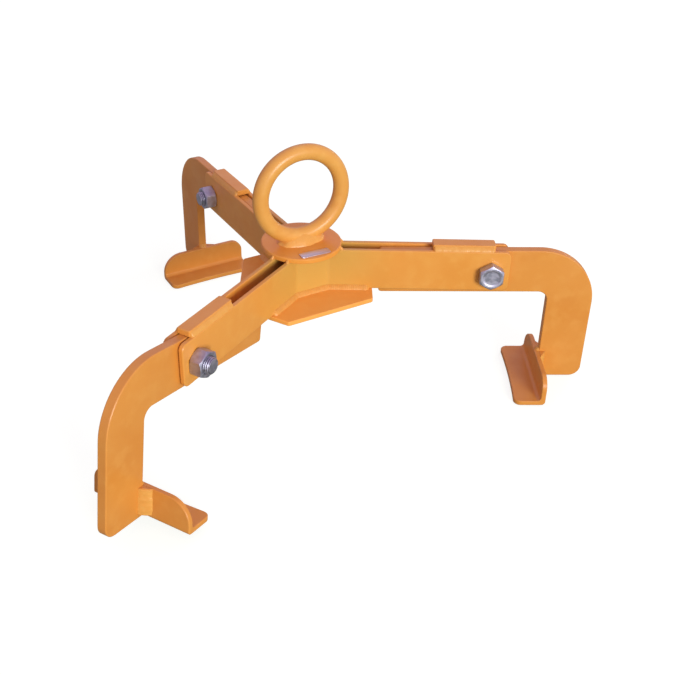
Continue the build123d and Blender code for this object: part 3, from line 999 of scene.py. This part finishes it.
def dress(node, material):
    """Gives a CAD node that stays its finish."""
    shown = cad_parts[node]
    shown.data.materials.clear()
    shown.data.materials.append(material)


for hub_plate in ("side_plate_ab", "side_plate_bc", "side_plate_ca"):
    dress(hub_plate, hub_enamel)
dress("base_plate", base_lit_enamel)
dress("top_disc", disc_enamel)

surface_piece("hub_welds", "frame", weld_enamel, hub_welds(), soft_edge)
ring = surface_piece("ring_bar", "frame", ring_enamel, [ring_surface()], soft_edge)
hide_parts("lifting_ring")
surface_piece("ring_weld", "frame", weld_enamel, [ring_weld_surface()], soft_edge)
label = surface_piece("foil_label", "frame", label_foil, [label_surface()], label_edge)
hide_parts("label_plate")


def on_arm(grids, arm, swing):
    """Grids of arm a's pieces brought to their own arm, and swung with its hook where they ride on it."""
    return [(turned(swung(points, swing), arm_turns[arm]), depth, joins) for points, depth, joins in grids]


for number, arm in enumerate(arm_turns):
    lever = "lever_" + arm
    turn = arm_turns[arm]
    hook_enamel = make_plate_enamel(
        "hook_enamel_" + arm, hook_shades, chip_level=0.76, dust_and_sheen_most=0.06, plate_turn=turn, cut_share=4.0
    )
    pad_enamel = make_plate_enamel(
        "pad_enamel_" + arm, hook_shades, chip_level=0.70, dust_and_sheen_most=0.07, plate_turn=turn
    )
    dress("hook_" + arm, hook_enamel)
    dress("jaw_pad_" + arm, pad_enamel)
    dress("stop_strap_" + arm, hub_enamel)
    arm_beads = on_arm(arm_welds(arm_weld_seed + seed_step * number), arm, 0.0)
    surface_piece("arm_welds_" + arm, "frame", weld_enamel, arm_beads, soft_edge)
    pad_beads = on_arm(pad_welds(pad_weld_seed + seed_step * number), arm, hook_swings[arm])
    surface_piece("pad_welds_" + arm, lever, weld_enamel, pad_beads, soft_edge)
    fasteners = (
        ("zinc_bolt_", "pivot_bolt_", bolt_surface()),
        ("zinc_nut_", "pivot_nut_", nut_surface()),
    )
    for piece_name, node_name, surface in fasteners:
        grids = on_arm([surface], arm, 0.0)
        fastener = surface_piece(piece_name + arm, "frame", zinc_plating, grids, hex_edge)
        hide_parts(node_name + arm)

# Floor and air
floor_gap = 0.0004
floor_reach = 40.0
floor_rows = 24
floor_points_round = 96
floor_dark = (0.31, 0.39, 0.29, 1.0)
floor_pale = (0.33, 0.41, 0.31, 1.0)
floor_roughness = 0.9
floor_glow = 0.80
white = (1.0, 1.0, 1.0, 1.0)
air_colour = (0.94, 0.71, 1.0, 1.0)
air_strength = 0.61

# Studio lights: compass angle, height angle, distance, watts, width, and whether they glint on gloss
studio_lights = {
    "key_light": (297.0, 13.5, 6.0, 278.0, 2.4, True),
    "back_panel": (95.0, 38.0, 3.0, 4.0, 3.0, True),
    "low_back_light": (48.0, 7.0, 3.0, 26.0, 1.0, False),
}

# Camera at the photograph's angle
camera_aim = Vector((0.0, 0.0, 0.006))
camera_distance = 1.26284
camera_azimuth = math.radians(0.968)
camera_elevation = math.radians(30.049)
camera_yaw = math.radians(-2.179)
camera_pitch = math.radians(-3.263)
camera_roll = math.radians(-0.463)
camera_lens = 51.650
camera_sensor = 36.0


def make_floor(height):
    """Round pale floor: rings of points whose reach grows as the square of a share, level all over.

    It glows for the camera alone, so it looks white and throws back less light than white would.
    """
    share = np.linspace(0.01, 1.0, floor_rows)[:, None] ** 2
    turn = round_angles(floor_points_round)
    x = floor_reach * share * np.cos(turn)
    y = floor_reach * share * np.sin(turn)
    points = np.stack([x, y, np.full_like(x, height)], axis=-1)
    index = np.arange(x.size).reshape(x.shape)
    below = index[:-1]
    above = index[1:]
    quads = np.stack([below, above, np.roll(above, -1, 1), np.roll(below, -1, 1)], axis=-1).reshape(-1, 4)
    mesh = bpy.data.meshes.new("studio_floor")
    mesh.from_pydata(points.reshape(-1, 3).tolist(), [], quads.tolist() + [index[0].tolist()])
    floor = bpy.data.objects.new("studio_floor", mesh)
    show(floor)
    material, tree, shader, place = start_material("pale_floor")
    mottle = noise(tree, place["Object"], scale=3.0, detail=2.0)
    feed(tree, shader.inputs["Base Color"], mix_colour(tree, mottle, floor_dark, floor_pale))
    shader.inputs["Roughness"].default_value = floor_roughness
    shader.inputs["Specular IOR Level"].default_value = 0.0
    shader.inputs["Emission Color"].default_value = white
    sight = add_node(tree, "ShaderNodeLightPath").outputs["Is Camera Ray"]
    feed(tree, shader.inputs["Emission Strength"], multiply(tree, sight, floor_glow))
    mesh.materials.append(material)


def add_light(name, azimuth, elevation, distance, energy, width, glints):
    """A round studio light that faces the hub, from a compass angle (counter-clockwise from +X) and a
    height angle."""
    level = math.cos(math.radians(elevation))
    x = level * math.cos(math.radians(azimuth))
    y = level * math.sin(math.radians(azimuth))
    way = Vector((x, y, math.sin(math.radians(elevation))))
    lamp = bpy.data.lights.new(name, "AREA")
    lamp.energy = energy
    lamp.shape = "DISK"
    lamp.size = width
    light = bpy.data.objects.new(name, lamp)
    light.location = way * distance
    light.rotation_mode = "QUATERNION"
    light.rotation_quaternion = way.to_track_quat("Z", "Y")
    light.visible_camera = False
    light.visible_glossy = glints
    show(light)


def make_air():
    """Soft light from all around, and a white backdrop that only the camera sees."""
    world = bpy.data.worlds.new("studio_air")
    world.use_nodes = True
    tree = world.node_tree
    tree.nodes.clear()
    air = add_node(tree, "ShaderNodeBackground", {"Color": air_colour, "Strength": air_strength})
    backdrop = add_node(tree, "ShaderNodeBackground", {"Color": white, "Strength": 1.0})
    sight = add_node(tree, "ShaderNodeLightPath").outputs["Is Camera Ray"]
    sources = {0: sight, 1: air.outputs["Background"], 2: backdrop.outputs["Background"]}
    behind = add_node(tree, "ShaderNodeMixShader", sources)
    add_node(tree, "ShaderNodeOutputWorld", {"Surface": behind.outputs["Shader"]})
    bpy.context.scene.world = world


def place_camera():
    """Camera that circles the hub, then turns a little off it, tips and rolls."""
    offset = Vector((
        math.sin(camera_azimuth) * math.cos(camera_elevation),
        -math.cos(camera_azimuth) * math.cos(camera_elevation),
        math.sin(camera_elevation),
    ))
    look = -offset
    right = look.cross(Vector(straight_up)).normalized()
    up = right.cross(look)
    yaw = Matrix.Rotation(camera_yaw, 3, up)
    look = yaw @ look
    right = yaw @ right
    pitch = Matrix.Rotation(camera_pitch, 3, right)
    look = pitch @ look
    up = pitch @ up
    roll = Matrix.Rotation(camera_roll, 3, look)
    right = roll @ right
    up = roll @ up
    lens = bpy.data.cameras.new("photo_camera")
    lens.lens = camera_lens
    lens.sensor_width = camera_sensor
    camera = bpy.data.objects.new("photo_camera", lens)
    stand = camera_aim + offset * camera_distance
    camera.matrix_world = Matrix((
        (right.x, up.x, -look.x, stand.x),
        (right.y, up.y, -look.y, stand.y),
        (right.z, up.z, -look.z, stand.z),
        (0.0, 0.0, 0.0, 1.0),
    ))
    show(camera)
    bpy.context.scene.camera = camera


make_floor(cad_box[0][2] - floor_gap)
for light_name, light_settings in studio_lights.items():
    add_light(light_name, *light_settings)
make_air()
bpy.context.scene.view_settings.view_transform = "Standard"
place_camera()
